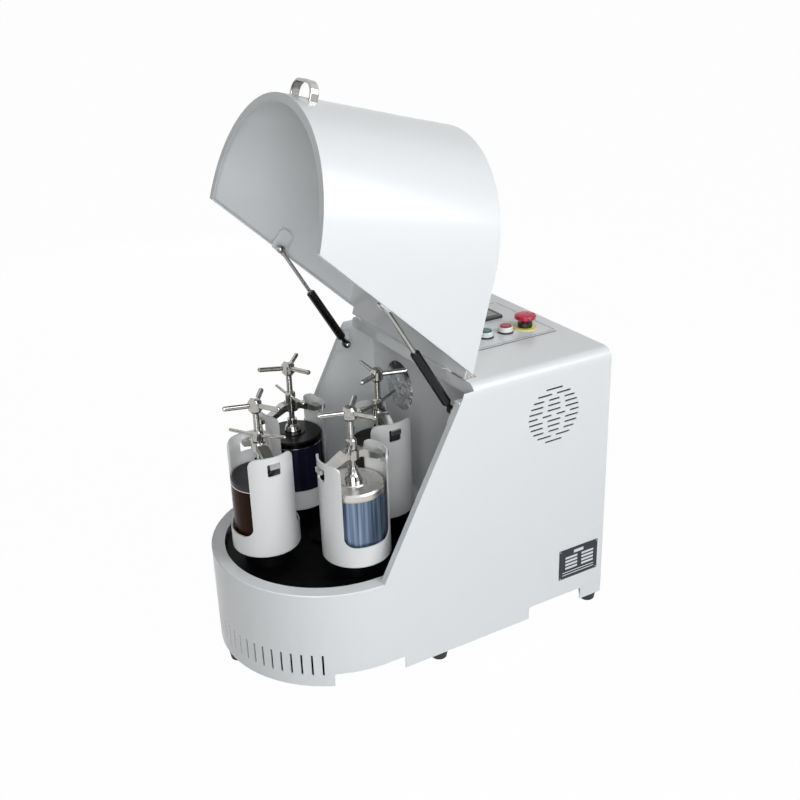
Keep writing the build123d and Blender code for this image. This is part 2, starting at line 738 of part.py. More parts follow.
for number, station_angle in enumerate(station_angles, start=1):
    centre = Vector(
        station_radius * cos(radians(station_angle)),
        disc_y + station_radius * sin(radians(station_angle)),
        0,
    )
    # x runs along the clamp yoke, square to the disc's radius
    along = Vector(0, 1, 0).rotate(Axis.Z, station_angle)
    outwards = Vector(1, 0, 0).rotate(Axis.Z, station_angle)
    station = Plane(origin=centre, x_dir=along, z_dir=(0, 0, 1))
    front_view = Plane(origin=centre, x_dir=along, z_dir=outwards)
    side_view = Plane(origin=centre, x_dir=-outwards, z_dir=along)

    with BuildPart() as planet_gear:
        extrude(
            gear_outline(
                station.offset(gear_bottom), planet_teeth, planet_pitch + addendum, planet_pitch - dedendum, -backlash
            ),
            amount=gear_width,
        )
        add(
            turned(
                front_view,
                (0, gear_bottom - 6),
                (22, gear_bottom - 6),
                (22, disc_bottom - 1),
                (planet_shaft_radius, disc_bottom - 1),
                (planet_shaft_radius, boss_top + 0.5),
                (30, boss_top + 0.5),
                (30, holder_bottom),
                (0, holder_bottom),
            )
        )
    planet_gear.part.label = f"planet_gear_{number}"
    export_step(planet_gear.part, f"parts/planet_gear_{number}.step")

    with BuildPart() as jar_holder:
        with BuildSketch(station.offset(holder_bottom)):
            Circle(holder_radius)
        extrude(amount=holder_top - holder_bottom)
        fillet(jar_holder.edges().filter_by(GeomType.CIRCLE).sort_by(Axis.Z)[0], 4)
        with BuildSketch(station.offset(holder_floor)):
            Circle(holder_radius - holder_wall)
        extrude(amount=holder_top, mode=Mode.SUBTRACT)
        # ring that centres the jar
        with BuildSketch(station.offset(holder_floor)):
            Circle(holder_radius - holder_wall)
            Circle(jar_radius + 0.3, mode=Mode.SUBTRACT)
        extrude(amount=5)
        # two windows that leave two tall walls
        with BuildSketch(front_view) as window:
            with BuildLine():
                Polyline(
                    (-window_half, window_bottom),
                    (window_half, window_bottom),
                    (window_half, holder_top + 1),
                    (-window_half, holder_top + 1),
                    close=True,
                )
            make_face()
            fillet(window.vertices().group_by(Axis.Y)[0], 20)
        extrude(amount=holder_radius + 1, both=True, mode=Mode.SUBTRACT)
        # rounded upper corners of the walls
        wall_half = sqrt(holder_radius**2 - window_half**2)
        with BuildSketch(side_view):
            with Locations((0, holder_top - 8)):
                Rectangle(2 * holder_radius + 2, 20)
            with Locations((0, holder_top - 30)):
                RectangleRounded(2 * wall_half, 60, 17, mode=Mode.SUBTRACT)
        extrude(amount=holder_radius + 1, both=True, mode=Mode.SUBTRACT)
        # a slot in each wall for the ends of the yoke
        with BuildSketch(side_view):
            with Locations((0, clamp_slot_z)):
                RectangleRounded(clamp_slot, clamp_slot, 3)
        extrude(amount=holder_radius + 1, both=True, mode=Mode.SUBTRACT)
    jar_holder.part.label = f"jar_holder_{number}"
    export_step(jar_holder.part, f"parts/jar_holder_{number}.step")

    with BuildPart() as jar:
        with BuildSketch(station.offset(holder_floor)):
            Circle(jar_radius)
        extrude(amount=jar_top - holder_floor)
        fillet(jar.edges().filter_by(GeomType.CIRCLE).sort_by(Axis.Z)[0], 4)
        with BuildSketch(station.offset(jar_top)):
            Circle(jar_radius - 8.5)
        extrude(amount=holder_floor + 9 - jar_top, mode=Mode.SUBTRACT)
        inner_floor = jar.edges().filter_by(GeomType.CIRCLE).filter_by_position(
            Axis.Z, holder_floor + 8.9, holder_floor + 9.1
        )
        fillet(inner_floor, 8)
    jar.part.label = f"jar_{number}"
    export_step(jar.part, f"parts/jar_{number}.step")

    with BuildPart() as jar_lid:
        add(
            turned(
                front_view,
                (0, jar_top - 8),
                (jar_radius - 10, jar_top - 8),
                (jar_radius - 9, jar_top - 7),
                (jar_radius - 9, jar_top),
                (jar_radius, jar_top),
                (jar_radius, jar_lid_top - 5),
                (jar_radius - 3, jar_lid_top - 2),
                (26, jar_lid_top - 2),
                (24, jar_lid_top),
                (0, jar_lid_top),
            )
        )
    jar_lid.part.label = f"jar_lid_{number}"
    export_step(jar_lid.part, f"parts/jar_lid_{number}.step")

    # gull-wing yoke: its ends bear under the upper edges of the holder's slots
    slot_top = clamp_slot_z + clamp_slot / 2
    with BuildPart() as clamp_yoke:
        with BuildSketch(front_view) as wings:
            with BuildLine():
                Polyline(
                    (-72, slot_top),
                    (-50, slot_top),
                    (-20, yoke_top - 2),
                    (20, yoke_top - 2),
                    (50, slot_top),
                    (72, slot_top),
                    (72, slot_top - 9),
                    (47, slot_top - 9),
                    (16, yoke_top - 16),
                    (-16, yoke_top - 16),
                    (-47, slot_top - 9),
                    (-72, slot_top - 9),
                    close=True,
                )
            make_face()
            for bend_x in (-50, -20, 20, 50):
                bend_z = slot_top if abs(bend_x) == 50 else yoke_top - 2
                fillet(wings.vertices().sort_by_distance((bend_x, bend_z))[0], 10)
        extrude(amount=10, both=True)
        with BuildSketch(station.offset(yoke_top - 18)):
            Circle(14)
        extrude(amount=18)
        with BuildSketch(station.offset(yoke_top - 20)):
            Circle(screw_radius + fit_gap)
        extrude(amount=22, mode=Mode.SUBTRACT)
    clamp_yoke.part.label = f"clamp_yoke_{number}"
    export_step(clamp_yoke.part, f"parts/clamp_yoke_{number}.step")

    # spindle with its three-arm handle, and the lock nut with its cross bar screwed onto it
    with BuildPart() as clamp_screw:
        add(
            turned(
                front_view,
                (0, jar_lid_top + 8),
                (screw_radius - 1, jar_lid_top + 8),
                (screw_radius, jar_lid_top + 9),
                (screw_radius, yoke_top + 0.4),
                (9.5, yoke_top + 0.4),
                (10.5, yoke_top + 2),
                (10.5, nut_z + 8),
                (8, nut_z + 11),
                (screw_radius, nut_z + 11),
                (screw_radius, handle_z - 14),
                (9, handle_z - 14),
                (13, handle_z - 9),
                (13, handle_z + 7),
                (9, handle_z + 12),
                (0, handle_z + 14),
            )
        )
        handle_turn = handle_turns[number - 1]
        nut_turn = nut_turns[number - 1]
        add(round_arms(centre, handle_z, (handle_turn, handle_turn + 120, handle_turn + 240), 4.9, arm_reach, 5))
        add(round_arms(centre, nut_z, (nut_turn, nut_turn + 180), 3.4, arm_reach - 2, 4))
    clamp_screw.part.label = f"clamp_screw_{number}"
    export_step(clamp_screw.part, f"parts/clamp_screw_{number}.step")

    with BuildPart() as press_foot:
        add(
            turned(
                front_view,
                (0, jar_lid_top),
                (17, jar_lid_top),
                (17, jar_lid_top + 5),
                (14, jar_lid_top + 13),
                (10, jar_lid_top + 18),
                (10, jar_lid_top + 28),
                (screw_radius + fit_gap, jar_lid_top + 28),
                (screw_radius + fit_gap, jar_lid_top + 7.5),
                (0, jar_lid_top + 7.5),
            )
        )
    press_foot.part.label = f"press_foot_{number}"
    export_step(press_foot.part, f"parts/press_foot_{number}.step")

# ================================================================ lid, drawn in its open place
# The hood's own planes: x across, then towards the cabinet and up when the lid is closed.
open_turn = radians(lid_open)
hood = Plane(
    origin=(0, hinge_y, hinge_z),
    x_dir=(1, 0, 0),
    z_dir=(0, sin(open_turn), cos(open_turn)),
)
hood_side = Plane(
    origin=(0, hinge_y, hinge_z),
    x_dir=(0, cos(open_turn), -sin(open_turn)),
    z_dir=(1, 0, 0),
)


def hood_level(z, y=0):
    """A level plane of the closed lid at height z, with its origin at closed y, opened with the lid."""
    level = hood.offset(z - hinge_z)
    return Plane(origin=level.from_local_coords((0, y - hinge_y, 0)), x_dir=level.x_dir, z_dir=level.z_dir)


def closed_point(y, z):
    """A point of the closed lid, as coordinates on the hood's side plane."""
    return (y - hinge_y, z - hinge_z)


lid_gap = 3  # between the lid's slanted edges and the housing's
hood_outline = outline_of(
    hood_side,
    closed_point(-rear - 10, lid_bottom),
    closed_point(*slant_point(lid_bottom, lid_gap)),
    closed_point(*slant_point(height, lid_gap)),
    closed_point(-rear - 10, height),
)
space_in_hood = outline_of(
    hood_side,
    closed_point(-rear - 10, lid_bottom + lid_sheet),
    closed_point(*slant_point(lid_bottom + lid_sheet, lid_gap + lid_sheet)),
    closed_point(*slant_point(height - sheet, lid_gap + lid_sheet)),
    closed_point(-rear - 10, height - sheet),
)
with BuildPart() as hood_space:
    extrude(drum_outline(hood_level(lid_bottom), lid_radius - lid_sheet, hinge_y), amount=height - lid_bottom)
    extrude(space_in_hood, amount=width, both=True, mode=Mode.INTERSECT)

tongue_half = 214
hood_hook = 560  # lower edge of the fold at the back of the lid's top
with BuildPart() as lid:
    extrude(drum_outline(hood_level(lid_bottom), lid_radius, hinge_y), amount=height - lid_bottom)
    extrude(hood_outline, amount=width, both=True, mode=Mode.INTERSECT)
    add(hood_space.part, mode=Mode.SUBTRACT)
    # the mouth of the hood, inside its folded rim
    extrude(
        drum_outline(hood_level(lid_bottom - 1), lid_radius - lid_flange, hinge_y + 10),
        amount=height - sheet - lid_bottom + 1,
        mode=Mode.SUBTRACT,
    )
    # the top runs back to the hinges and folds down there
    with BuildSketch(hood_level(height)):
        with Locations((0, 40)):
            Rectangle(2 * tongue_half, 24)
    extrude(amount=-sheet)
    with BuildSketch(hood_level(height)):
        with Locations((0, hinge_y - 2 - lid_sheet / 2)):
            Rectangle(2 * (hinge_x - 26), lid_sheet)
    extrude(amount=-(height - hood_hook))
    # welded strut brackets: a plate that stands clear of the wall, cranked back to it inside the hood
    head_y = strut_head[0] - hinge_y
    head_z = strut_head[1] - hinge_z
    head = (
        head_y * cos(open_turn) - head_z * sin(open_turn),
        head_y * sin(open_turn) + head_z * cos(open_turn),
    )
    along_slant = hood_side.x_dir.rotate(Axis.X, degrees(atan2(354, 188)))
    for side in (-1, 1):
        bracket_origin = hood_side.from_local_coords((head[0], head[1], side * (strut_x + 12)))
        bracket_plane = Plane(origin=bracket_origin, x_dir=along_slant, z_dir=(1, 0, 0))
        with BuildSketch(bracket_plane):
            with Locations((0, 16)):
                RectangleRounded(30, 44, 8)
        extrude(amount=side * sheet)
        with BuildSketch(bracket_plane):
            with Locations((0, 38 - sheet / 2)):
                Rectangle(26, sheet)
        extrude(amount=side * (lid_radius - lid_sheet - strut_x - 12))
    # hairline where the top is welded to the hood's wall
    with BuildSketch(hood_level(height - sheet)):
        Rectangle(2 * width, 2 * length)
    extrude(amount=-seam, mode=Mode.SUBTRACT)
lid.part.label = "lid"
export_step(lid.part, "parts/lid.step")

handle_half = 37
handle_reach = 27
handle_level = 265
handle_band = (17, 6)  # width along the lid and thickness of the bowed strap
with BuildPart() as lid_handle:
    handle_front = drum_y - lid_radius - handle_reach
    with BuildLine(hood_level(handle_level)) as handle_path:
        FilletPolyline(
            (-handle_half, drum_y - lid_radius + 8),
            (-handle_half, handle_front),
            (handle_half, handle_front),
            (handle_half, drum_y - lid_radius + 8),
            radius=23,
        )
    band_plane = Plane(
        origin=handle_path.line @ 0,
        x_dir=hood.z_dir,
        z_dir=handle_path.line % 0,
    )
    with BuildSketch(band_plane):
        RectangleRounded(handle_band[0], handle_band[1], 2.4)
    sweep(path=handle_path.line)
    with BuildSketch(hood_level(handle_level - 20)):
        with Locations((0, drum_y)):
            Circle(lid_radius)
    extrude(amount=40, mode=Mode.SUBTRACT)
lid_handle.part.label = "lid_handle"
export_step(lid_handle.part, "parts/lid_handle.step")

# ================================================================ lid hinges
knuckle_radius = 4.5
hinge_pin = 2
hinge_half = 18
knuckle_half = 5.8
leaf = 2
with BuildPart() as fixed_hinges:
    for side in (-1, 1):
        for end in (-1, 1):
            middle = side * hinge_x + end * (hinge_half + knuckle_half + 0.4) / 2
            with BuildSketch(Plane.YZ.offset(middle)):
                with Locations((hinge_y, hinge_z)):
                    Circle(knuckle_radius)
                with Locations((hinge_y + 6, height + leaf / 2)):
                    Rectangle(12, leaf)
            extrude(amount=(hinge_half - knuckle_half - 0.4) / 2, both=True)
        with BuildSketch(Plane.XY.offset(height)):
            with Locations((side * hinge_x, hinge_y + 17)):
                Rectangle(2 * hinge_half, 20)
                with GridLocations(24, 8, 2, 2):
                    Circle(1.8, mode=Mode.SUBTRACT)
        extrude(amount=leaf)
        with BuildSketch(Plane.YZ.offset(side * hinge_x)):
            with Locations((hinge_y, hinge_z)):
                Circle(hinge_pin)
        extrude(amount=hinge_half, both=True)
fixed_hinges.part.label = "fixed_hinges"
export_step(fixed_hinges.part, "parts/fixed_hinges.step")

with BuildPart() as lid_hinges:
    for side in (-1, 1):
        with BuildSketch(Plane.YZ.offset(side * hinge_x)):
            with Locations((hinge_y, hinge_z)):
                Circle(knuckle_radius)
        extrude(amount=knuckle_half, both=True)
        with BuildSketch(hood_level(height, hinge_y)):
            with Locations((side * hinge_x, -16)):
                Rectangle(2 * hinge_half, 20)
                with GridLocations(24, 8, 2, 2):
                    Circle(1.8, mode=Mode.SUBTRACT)
            with Locations((side * hinge_x, -4)):
                Rectangle(2 * knuckle_half, 8)
        extrude(amount=leaf)
        with BuildSketch(Plane.YZ.offset(side * hinge_x)):
            with Locations((hinge_y, hinge_z)):
                Circle(hinge_pin + fit_gap)
        extrude(amount=hinge_half, both=True, mode=Mode.SUBTRACT)
lid_hinges.part.label = "lid_hinges"
export_step(lid_hinges.part, "parts/lid_hinges.step")

# ================================================================ gas struts
strut_run = strut_head[0] - strut_foot[0]
strut_rise = strut_head[1] - strut_foot[1]
strut_length = hypot(strut_run, strut_rise)
gland = 152  # outer end of the cylinder, measured from its lower stud
piston = 122
stud_radius = 4
with BuildPart() as strut_studs:
    for side in (-1, 1):
        stud_axis = Plane(
            origin=(side * bracket_face, strut_foot[0], strut_foot[1]),
            x_dir=(0, 1, 0),
            z_dir=(0, 0, side),
        )
        reach = bracket_face - strut_x
        add(
            turned(
                stud_axis,
                (0, 0),
                (7, 0),
                (7, reach - 5.5),
                (stud_radius, reach - 5.5),
                (stud_radius, reach + 5.5),
                (5.5, reach + 5.5),
                (5.5, reach + 8),
                (0, reach + 8),
            )
        )
strut_studs.part.label = "strut_studs"
export_step(strut_studs.part, "parts/strut_studs.step")

for side, name in ((-1, "left"), (1, "right")):
    strut_axis = Plane(
        origin=(side * strut_x, strut_foot[0], strut_foot[1]),
        x_dir=(1, 0, 0),
        z_dir=(0, -strut_rise, strut_run),
    )
    with BuildPart() as strut_cylinder:
        add(
            turned(
                strut_axis,
                (0, 0),
                (4.5, 0),
                (4.5, 20),
                (strut_radius - 1, 20),
                (strut_radius, 22),
                (strut_radius, gland - 2),
                (strut_radius - 2, gland),
                (rod_radius + fit_gap, gland),
                (rod_radius + fit_gap, gland - 8),
                (strut_radius - 1.5, gland - 8),
                (strut_radius - 1.5, 26),
                (0, 26),
            )
        )
        with BuildSketch(Plane.YZ.offset(side * strut_x)):
            with Locations(strut_foot):
                Circle(8)
        extrude(amount=5, both=True)
        with BuildSketch(Plane.YZ.offset(side * strut_x)):
            with Locations(strut_foot):
                Circle(stud_radius + fit_gap)
        extrude(amount=6, both=True, mode=Mode.SUBTRACT)
    strut_cylinder.part.label = f"strut_cylinder_{name}"
    export_step(strut_cylinder.part, f"parts/strut_cylinder_{name}.step")

    with BuildPart() as strut_rod:
        add(
            turned(
                strut_axis,
                (0, piston),
                (strut_radius - 1.6, piston),
                (strut_radius - 1.6, piston + 8),
                (rod_radius, piston + 8),
                (rod_radius, strut_length - 14),
                (5.5, strut_length - 14),
                (5.5, strut_length),
                (0, strut_length),
            )
        )
        with BuildSketch(Plane.YZ.offset(side * strut_x)):
            with Locations(strut_head):
                Circle(8)
        extrude(amount=5, both=True)
        with BuildSketch(Plane.YZ.offset(side * strut_x)):
            with Locations(strut_head):
                Circle(stud_radius)
        extrude(amount=side * (bracket_face - strut_x - 0.4))
    strut_rod.part.label = f"strut_rod_{name}"
    export_step(strut_rod.part, f"parts/strut_rod_{name}.step")

# ================================================================ controls on the cabinet
panel_top = height + 2
with BuildPart() as control_panel:
    with BuildSketch(Plane.XY.offset(height)):
        with Locations((-10, 254)):
            RectangleRounded(216, 196, 8)
        with Locations(*button_places, stop_place):
            Circle(button_hole, mode=Mode.SUBTRACT)
    extrude(amount=panel_top - height)
control_panel.part.label = "control_panel"
export_step(control_panel.part, "parts/control_panel.step")

with BuildPart() as display:
    with BuildSketch(Plane.XY.offset(panel_top)):
        with Locations((-70, 260)):
            RectangleRounded(90, 90, 4)
    extrude(amount=6)
    fillet(display.edges().group_by(Axis.Z)[-1], 1.5)
display.part.label = "display"
export_step(display.part, "parts/display.step")

cap_radius = 12.2
with BuildPart() as button_bezels:
    for place in button_places:
        add(
            turned(
                upright_at(*place),
                (16, panel_top),
                (16, panel_top + 4),
                (14.8, panel_top + 4),
                (14.8, panel_top + 12),
                (13.8, panel_top + 13),
                (cap_radius + 0.1, panel_top + 13),
                (cap_radius + 0.1, panel_top + 2),
                (6.1, panel_top + 2),
                (6.1, height - 14),
                (11, height - 14),
                (11, panel_top),
            )
        )
button_bezels.part.label = "button_bezels"
export_step(button_bezels.part, "parts/button_bezels.step")

for place, name in zip(button_places, ("green_button", "red_button")):
    with BuildPart() as button:
        add(
            turned(
                upright_at(*place),
                (0, height - 10),
                (6, height - 10),
                (6, panel_top + 6.5),
                (cap_radius, panel_top + 6.5),
                (cap_radius, panel_top + 14),
                (cap_radius - 1.5, panel_top + 15.5),
                (0, panel_top + 15.5),
            )
        )
    button.part.label = name
    export_step(button.part, f"parts/{name}.step")

stop_neck = 15
with BuildPart() as estop_base:
    add(
        turned(
            upright_at(*stop_place),
            (23.5, panel_top),
            (23.5, panel_top + 2),
            (stop_neck, panel_top + 2),
            (stop_neck, panel_top + 13),
            (8.1, panel_top + 13),
            (8.1, height - 14),
            (11, height - 14),
            (11, panel_top),
        )
    )
estop_base.part.label = "estop_base"
export_step(estop_base.part, "parts/estop_base.step")

with BuildPart() as estop_head:
    add(
        turned(
            upright_at(*stop_place),
            (0, height - 8),
            (8, height - 8),
            (8, panel_top + 20),
            (21, panel_top + 20),
            (22, panel_top + 21),
            (22, panel_top + 25),
            (20.5, panel_top + 28),
            (14, panel_top + 30),
            (0, panel_top + 31),
        )
    )
estop_head.part.label = "estop_head"
export_step(estop_head.part, "parts/estop_head.step")
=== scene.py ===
import math

import bmesh
import bpy
from mathutils import Matrix, Vector


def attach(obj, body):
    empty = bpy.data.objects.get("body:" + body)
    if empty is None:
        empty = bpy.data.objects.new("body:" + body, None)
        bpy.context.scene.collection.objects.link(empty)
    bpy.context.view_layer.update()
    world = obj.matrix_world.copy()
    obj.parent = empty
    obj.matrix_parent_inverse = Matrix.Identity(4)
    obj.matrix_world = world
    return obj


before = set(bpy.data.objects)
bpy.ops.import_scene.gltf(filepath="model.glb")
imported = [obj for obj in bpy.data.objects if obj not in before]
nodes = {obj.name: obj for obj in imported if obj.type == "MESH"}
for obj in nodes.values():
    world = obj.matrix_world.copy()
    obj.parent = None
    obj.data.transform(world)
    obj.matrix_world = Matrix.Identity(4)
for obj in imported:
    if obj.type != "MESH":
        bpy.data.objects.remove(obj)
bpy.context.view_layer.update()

scene = bpy.context.scene
scene.view_settings.view_transform = "Standard"

# Places that several pieces share, in metres. The machine is centred on x = 0.
DISC_Y = -0.147  # axis of the turning disc
DRUM_Y = -0.143  # axis of the housing's round front
STATION_RADIUS = 0.130
STATION_TURNS = (-90, 0, 90, 180)  # degrees, from station 1 to station 4
PANEL_X, PANEL_Y, PANEL_TOP = -0.010, 0.254, 0.578
SIDE_X = 0.235  # outside of the right wall
REAR_Y = 0.375  # where the heads on the rear cover start
HINGE_X = 0.186  # either hinge, from the middle
HINGE_Y, HINGE_Z = 0.054, 0.581  # the line that the lid turns on
HINGE_SEAT = 0.5779  # where the heads on the hinges start, with the lid closed
LID_OPEN = math.radians(105.4)
SHARP_ANGLE = math.radians(35)


# ------------------------------------------------------------------ materials
class Nodes:
    """A small helper round one material's node tree."""

    def __init__(self, name):
        self.material = bpy.data.materials.new(name)
        self.material.use_nodes = True
        self.tree = self.material.node_tree
        self.tree.nodes.clear()
        self.output = self.tree.nodes.new("ShaderNodeOutputMaterial")
        self.shader = self.tree.nodes.new("ShaderNodeBsdfPrincipled")
        self.link(self.shader.outputs["BSDF"], self.output.inputs["Surface"])
        self.place = self.tree.nodes.new("ShaderNodeTexCoord").outputs["Object"]

    def link(self, source, target):
        self.tree.links.new(source, target)

    def feed(self, target, value):
        """Sets an input to a number, or links another node's output to it."""
        if isinstance(value, (int, float)):
            target.default_value = value
        else:
            self.link(value, target)

    def mapped(self, scale):
        node = self.tree.nodes.new("ShaderNodeMapping")
        node.inputs["Scale"].default_value = scale
        self.link(self.place, node.inputs["Vector"])
        return node.outputs["Vector"]

    def noise(self, scale, detail=3.0, rough=0.5, vector=None):
        node = self.tree.nodes.new("ShaderNodeTexNoise")
        node.inputs["Scale"].default_value = scale
        node.inputs["Detail"].default_value = detail
        node.inputs["Roughness"].default_value = rough
        self.link(vector or self.place, node.inputs["Vector"])
        return node.outputs["Fac"]

    def voronoi(self, scale):
        node = self.tree.nodes.new("ShaderNodeTexVoronoi")
        node.inputs["Scale"].default_value = scale
        self.link(self.place, node.inputs["Vector"])
        return node.outputs["Distance"]

    def ramp(self, value, low, high, at=(0.0, 1.0)):
        node = self.tree.nodes.new("ShaderNodeValToRGB")
        for stop, place, tone in zip(node.color_ramp.elements, at, (low, high)):
            stop.position = place
            stop.color = (*tone, 1)
        self.link(value, node.inputs["Fac"])
        return node.outputs["Color"]

    def span(self, value, low, high, to_low=0.0, to_high=1.0):
        node = self.tree.nodes.new("ShaderNodeMapRange")
        node.inputs["From Min"].default_value = low
        node.inputs["From Max"].default_value = high
        node.inputs["To Min"].default_value = to_low
        node.inputs["To Max"].default_value = to_high
        self.link(value, node.inputs["Value"])
        return node.outputs["Result"]

    def math(self, kind, first, second=0.0):
        node = self.tree.nodes.new("ShaderNodeMath")
        node.operation = kind
        self.feed(node.inputs[0], first)
        self.feed(node.inputs[1], second)
        return node.outputs["Value"]

    def axes(self):
        node = self.tree.nodes.new("ShaderNodeSeparateXYZ")
        self.link(self.place, node.inputs["Vector"])
        return node.outputs["X"], node.outputs["Y"], node.outputs["Z"]

    def mix(self, factor, first, second):
        node = self.tree.nodes.new("ShaderNodeMix")
        node.data_type = "RGBA"
        self.link(factor, node.inputs["Factor"])
        for name, value in (("A", first), ("B", second)):
            if isinstance(value, tuple):
                node.inputs[name].default_value = (*value, 1)
            else:
                self.link(value, node.inputs[name])
        return node.outputs["Result"]

    def colour(self, value):
        self.link(value, self.shader.inputs["Base Color"])

    def rough(self, value):
        self.feed(self.shader.inputs["Roughness"], value)

    def metal(self, value=1.0):
        self.feed(self.shader.inputs["Metallic"], value)

    def specular(self, level):
        self.shader.inputs["Specular IOR Level"].default_value = level

    def bump(self, height, strength, distance):
        node = self.tree.nodes.new("ShaderNodeBump")
        node.inputs["Strength"].default_value = strength
        node.inputs["Distance"].default_value = distance
        self.link(height, node.inputs["Height"])
        self.link(node.outputs["Normal"], self.shader.inputs["Normal"])


def scaled(tone, share):
    return tuple(c * share for c in tone)


def powder_coat(name, base, rough=0.28, dust=0.006):
    """Sprayed and baked paint: a fine orange peel and the faintest change of tone."""
    n = Nodes(name)
    n.colour(n.ramp(n.noise(3.0, 3.0), scaled(base, 1 - dust), base, (0.35, 0.65)))
    n.rough(n.span(n.noise(6.0, 2.0), 0.3, 0.7, rough - 0.006, rough + 0.006))
    n.bump(n.noise(420.0, 1.0), 0.012, 0.0001)
    n.shader.inputs["Coat Weight"].default_value = 0.25
    n.shader.inputs["Coat Roughness"].default_value = 0.12
    return n.material


def polished(name, base, rough):
    """Bright plated steel with faint smears and hairline scratches."""
    n = Nodes(name)
    n.colour(n.ramp(n.noise(60.0, 5.0, 0.6), scaled(base, 0.86), base, (0.3, 0.62)))
    n.rough(n.span(n.noise(130.0, 4.0, 0.6), 0.3, 0.72, rough * 0.6, rough * 1.9))
    n.bump(n.noise(900.0, 2.0), 0.03, 0.0003)
    n.metal()
    return n.material


def turned_metal(name, base, rough, streak=0.12, fineness=900.0):
    """Lathe-turned or ground metal: fine lines round the part and soft stains."""
    n = Nodes(name)
    lines = n.noise(1.0, 3.0, 0.6, n.mapped((8.0, 8.0, fineness)))
    n.colour(n.ramp(lines, scaled(base, 1 - streak), base, (0.35, 0.65)))
    n.rough(n.span(n.noise(25.0, 4.0), 0.3, 0.7, rough * 0.8, rough * 1.3))
    n.bump(lines, 0.06, 0.0004)
    n.metal()
    return n.material


def moulded(name, base, rough, grain=800.0, strength=0.06, specular=0.5):
    """Moulded plastic with a fine spark-eroded grain."""
    n = Nodes(name)
    lighter = tuple(min(1.0, c * 1.12 + 0.002) for c in base)
    n.colour(n.ramp(n.noise(30.0, 3.0), base, lighter, (0.4, 0.7)))
    n.rough(n.span(n.noise(90.0, 2.0), 0.3, 0.7, rough - 0.05, rough + 0.06))
    n.bump(n.noise(grain, 2.0), strength, 0.0003)
    n.specular(specular)
    return n.material


def rubber(name, base, rough=0.62):
    """Dull black rubber with a little dust in its grain."""
    n = Nodes(name)
    dusty = tuple(c * 2.4 + 0.01 for c in base)
    n.colour(n.ramp(n.noise(70.0, 5.0, 0.65), base, dusty, (0.45, 0.8)))
    n.rough(n.span(n.noise(160.0, 2.0), 0.3, 0.7, rough - 0.08, rough + 0.1))
    n.bump(n.noise(1100.0, 2.0), 0.15, 0.0003)
    return n.material


def edged_film(name, edge_low, edge_high):
    """The panel's printed film, pale on top and dark at its cut edge."""
    n = Nodes(name)
    pale = n.ramp(n.noise(30.0, 3.0), (0.78, 0.79, 0.8), (0.8, 0.81, 0.82))
    above_edge = n.span(n.axes()[2], edge_low, edge_high)
    n.colour(n.mix(above_edge, (0.1, 0.104, 0.11), pale))
    n.rough(0.24)
    n.bump(n.noise(300.0, 2.0), 0.01, 0.0002)
    return n.material


def banded(name, edge, low, high):
    """One piece with two finishes that meet at a height, such as a washer under a bright ring.

    A finish is its colour, its roughness and its share of metal.
    """
    (low_tone, low_rough, low_metal), (high_tone, high_rough, high_metal) = low, high
    n = Nodes(name)
    half_blend = 0.00005
    step = n.span(n.axes()[2], edge - half_blend, edge + half_blend)
    grain = n.noise(150.0, 3.0)
    low_colour = n.ramp(grain, scaled(low_tone, 0.9), low_tone)
    high_colour = n.ramp(grain, scaled(high_tone, 0.9), high_tone)
    n.colour(n.mix(step, low_colour, high_colour))
    n.rough(n.span(step, 0.0, 1.0, low_rough, high_rough))
    n.metal(n.span(step, 0.0, 1.0, low_metal, high_metal))
    n.bump(n.noise(700.0, 2.0), 0.03, 0.0003)
    return n.material


def disc_black(name, lines_per_metre):
    """The turning disc's satin black coat, with faint turning marks and dust."""
    n = Nodes(name)
    x, y, _ = n.axes()
    from_axis = n.math("ADD", y, -DISC_Y)
    squares = [n.math("MULTIPLY", side, side) for side in (x, from_axis)]
    radius = n.math("SQRT", n.math("ADD", *squares))
    rings = n.math("SINE", n.math("MULTIPLY", radius, lines_per_metre))
    dust = n.noise(18.0, 5.0, 0.65)
    n.colour(n.ramp(dust, (0.0012, 0.0012, 0.0013), (0.004, 0.004, 0.0045), (0.4, 0.75)))
    n.specular(0.05)
    n.rough(n.span(n.noise(60.0, 4.0), 0.3, 0.7, 0.36, 0.5))
    n.bump(rings, 0.05, 0.0003)
    return n.material


def jar_body(name, dark, light, rough, metal, streaks, contrast=(0.35, 0.7)):
    """Turned jar wall whose colour runs in upright streaks of painted reflection, standing for what
    polished metal mirrors round it.
    """
    n = Nodes(name)
    painted_reflection = n.noise(1.0, 4.0, 0.55, n.mapped((streaks, streaks, 2.0)))
    fine = n.noise(1.0, 3.0, 0.55, n.mapped((30.0, 30.0, 1500.0)))
    # painted reflection: the colour runs in upright streaks between the dark and the light tone
    n.colour(n.ramp(painted_reflection, dark, light, contrast))
    n.rough(n.span(fine, 0.3, 0.7, rough * 0.95, rough * 1.06))
    n.bump(fine, 0.006, 0.0001)
    n.metal(metal)
    n.specular(0.06)
    return n.material


def threaded_steel(name, pitch, start, end):
    """Plated spindle: bright, with a fine thread between the press foot and the yoke.

    The thread fades in over the heights of start, and out over those of end.
    """
    n = Nodes(name)
    height = n.axes()[2]
    thread = n.math("SINE", n.math("MULTIPLY", height, 2 * math.pi / pitch))
    inside = n.math("MULTIPLY", n.span(height, *start), n.span(height, *end, 1.0, 0.0))
    tone = n.noise(90.0, 5.0, 0.6)
    n.colour(n.ramp(tone, (0.34, 0.33, 0.315), (0.47, 0.46, 0.44), (0.3, 0.65)))
    n.rough(n.span(n.noise(130.0, 4.0), 0.3, 0.72, 0.05, 0.17))
    n.bump(n.math("MULTIPLY", thread, inside), 0.35, 0.0006)
    n.metal()
    return n.material


